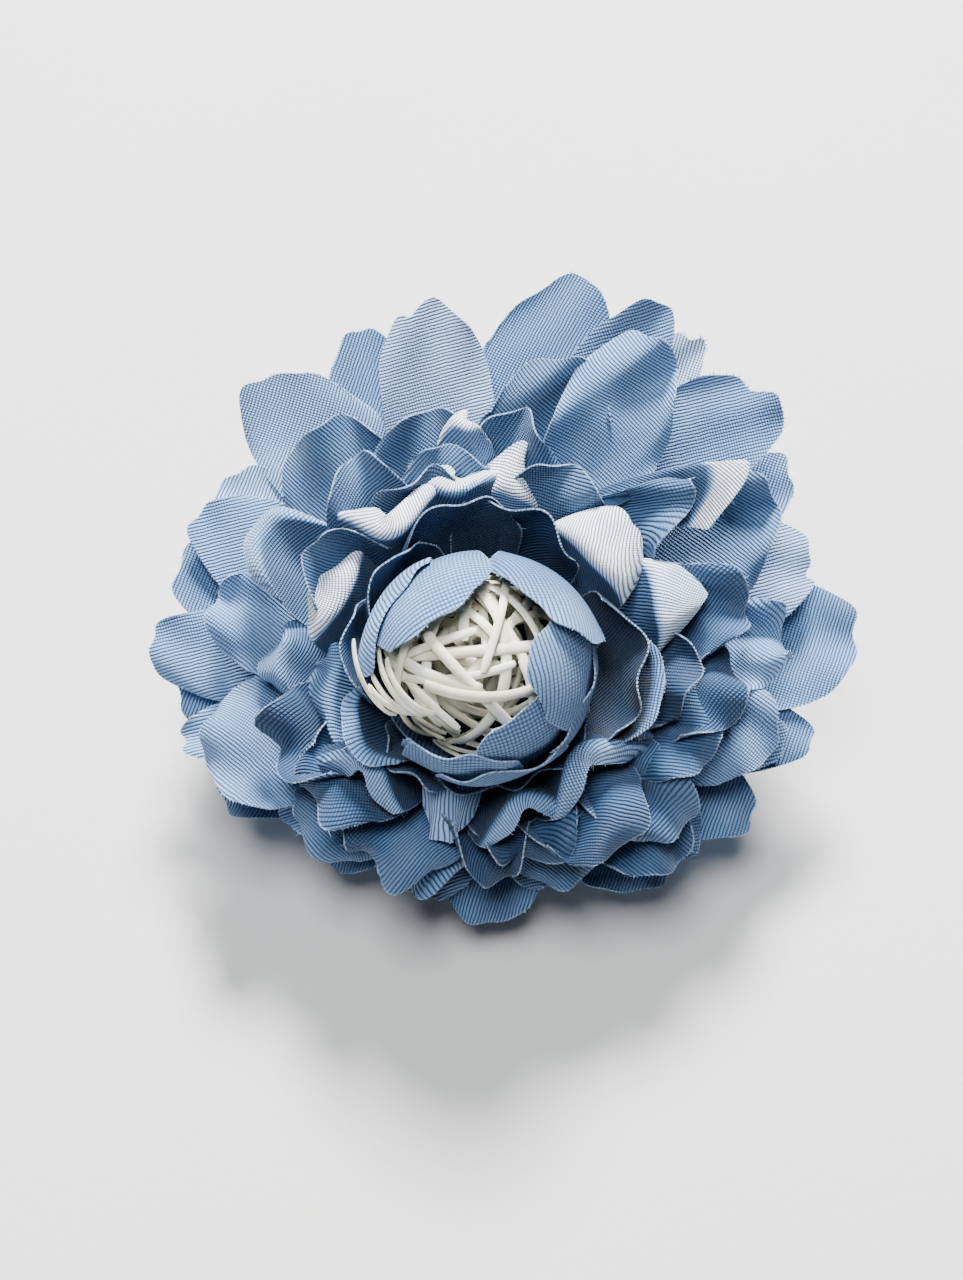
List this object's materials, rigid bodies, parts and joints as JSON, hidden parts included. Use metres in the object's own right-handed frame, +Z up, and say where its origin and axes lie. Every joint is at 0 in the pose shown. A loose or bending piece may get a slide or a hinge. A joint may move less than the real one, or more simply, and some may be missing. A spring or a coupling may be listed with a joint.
{
  "type": "flower hair clip",
  "caption": "Fabric peony hair clip: overlapping woven-cloth petals around an openwork ball in a closed bud, on a felt-backed spring clip with hinged jaws.",
  "frame": {"origin": "on the table under the clip, at the middle of the lower jaw's flat underside: the point (0, 0, 0) of the mount clip_rest_face", "axes": "+Z up, out of the flower; -Y towards the clip's tip and the side the flower leans to; +Y towards the clip's handles; +X to the flower's right seen from above with the tip towards the viewer, and the flower's widest direction"},
  "size_m": [0.0903, 0.0792, 0.05],
  "materials": {
    "clip_steel": "nickel-plated spring steel, bright",
    "cloth_blue": "plain-weave polyester, heat-formed, matt with a faint sheen",
    "core_cream": "moulded strands, cream, satin",
    "stem_green": "moulded polyethylene, satin",
    "felt_navy": "pressed felt",
    "glue_clear": "hot-melt glue, cloudy"
  },
  "bodies": {
    "clip_and_flower": {"clip_upper_jaw": "clip_steel", "clip_hinge_pin": "clip_steel", "clip_spring": "clip_steel", "jaw_liner": "felt_navy", "core_cage": "core_cream", "core_inner_tangle": "core_cream", "flower_stem": "stem_green", "stem_collar": "stem_green", "stem_spacer_1": "stem_green", "stem_spacer_2": "stem_green", "stem_spacer_3": "stem_green", "petal_layer_1": "cloth_blue", "petal_layer_2": "cloth_blue", "petal_layer_3": "cloth_blue", "petal_layer_4": "cloth_blue", "petal_layer_5": "cloth_blue", "petal_layer_6": "cloth_blue", "petal_layer_7": "cloth_blue", "petal_layer_8": "cloth_blue", "petal_layer_9": "cloth_blue", "glue_pad": "glue_clear", "felt_backing": "felt_navy"},
    "lower_jaw": {"clip_lower_jaw": "clip_steel"}
  },
  "joints": [
    {"name": "jaw_hinge", "type": "hinge", "parent": "clip_and_flower", "child": "lower_jaw", "pos_m": [0, 0.01, 0.0052], "axis": [1, 0, 0], "range_deg": [0, 35], "stiffness_Nm_per_rad": 0.08, "springref_deg": -45.84, "deforming": ["clip_spring"]}
  ]
}
